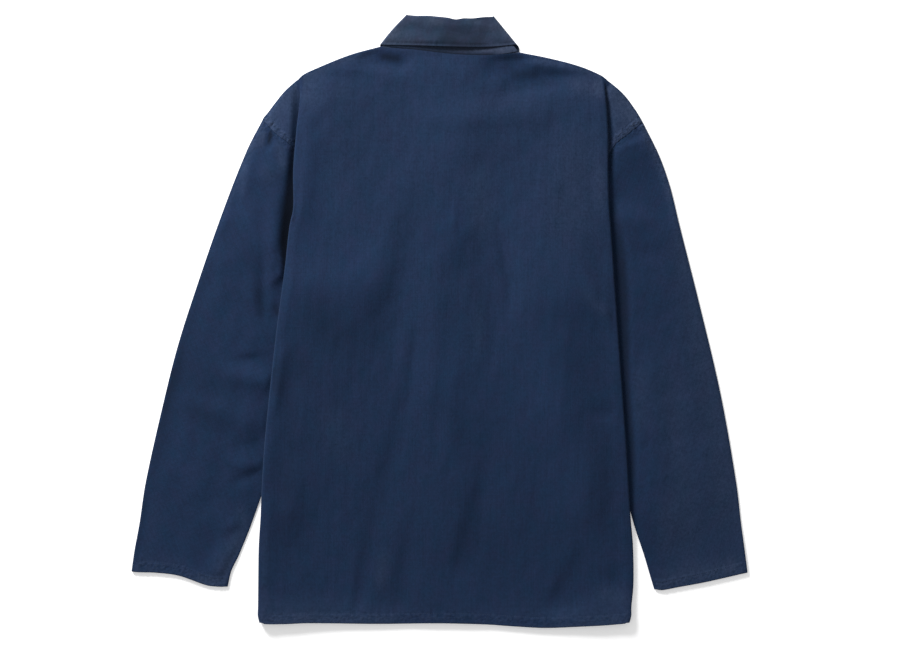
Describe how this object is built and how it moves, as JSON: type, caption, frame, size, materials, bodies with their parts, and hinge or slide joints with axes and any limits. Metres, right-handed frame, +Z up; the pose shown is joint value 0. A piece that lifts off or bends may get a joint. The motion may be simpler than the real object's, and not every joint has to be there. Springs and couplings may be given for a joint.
{
  "type": "chore shirt",
  "caption": "Long-sleeved navy chore shirt with a turned-down collar and buttoned front, laid flat on its front with the sleeves folded under its sides.",
  "frame": {"origin": "middle of the bounding box in plan, at the surface the shirt lies on", "axes": "+X across the shirt towards the wearer's right sleeve, +Y from the hem to the collar, +Z up, out of the back"},
  "size_m": [0.8164, 0.8143, 0.0095],
  "materials": {
    "navy_cotton": "matte plain-woven cotton, slightly slubbed and washed",
    "navy_cotton_collar": "the same cotton, doubled and topstitched",
    "button_navy": "dark navy resin, soft satin"
  },
  "bodies": {
    "root": {"back": "navy_cotton", "front_left": "navy_cotton", "front_right": "navy_cotton", "sleeve_left": "navy_cotton", "sleeve_right": "navy_cotton", "collar_stand": "navy_cotton_collar", "collar_fall": "navy_cotton_collar", "button_1": "button_navy", "button_2": "button_navy", "button_3": "button_navy", "button_4": "button_navy", "button_5": "button_navy"}
  },
  "joints": []
}
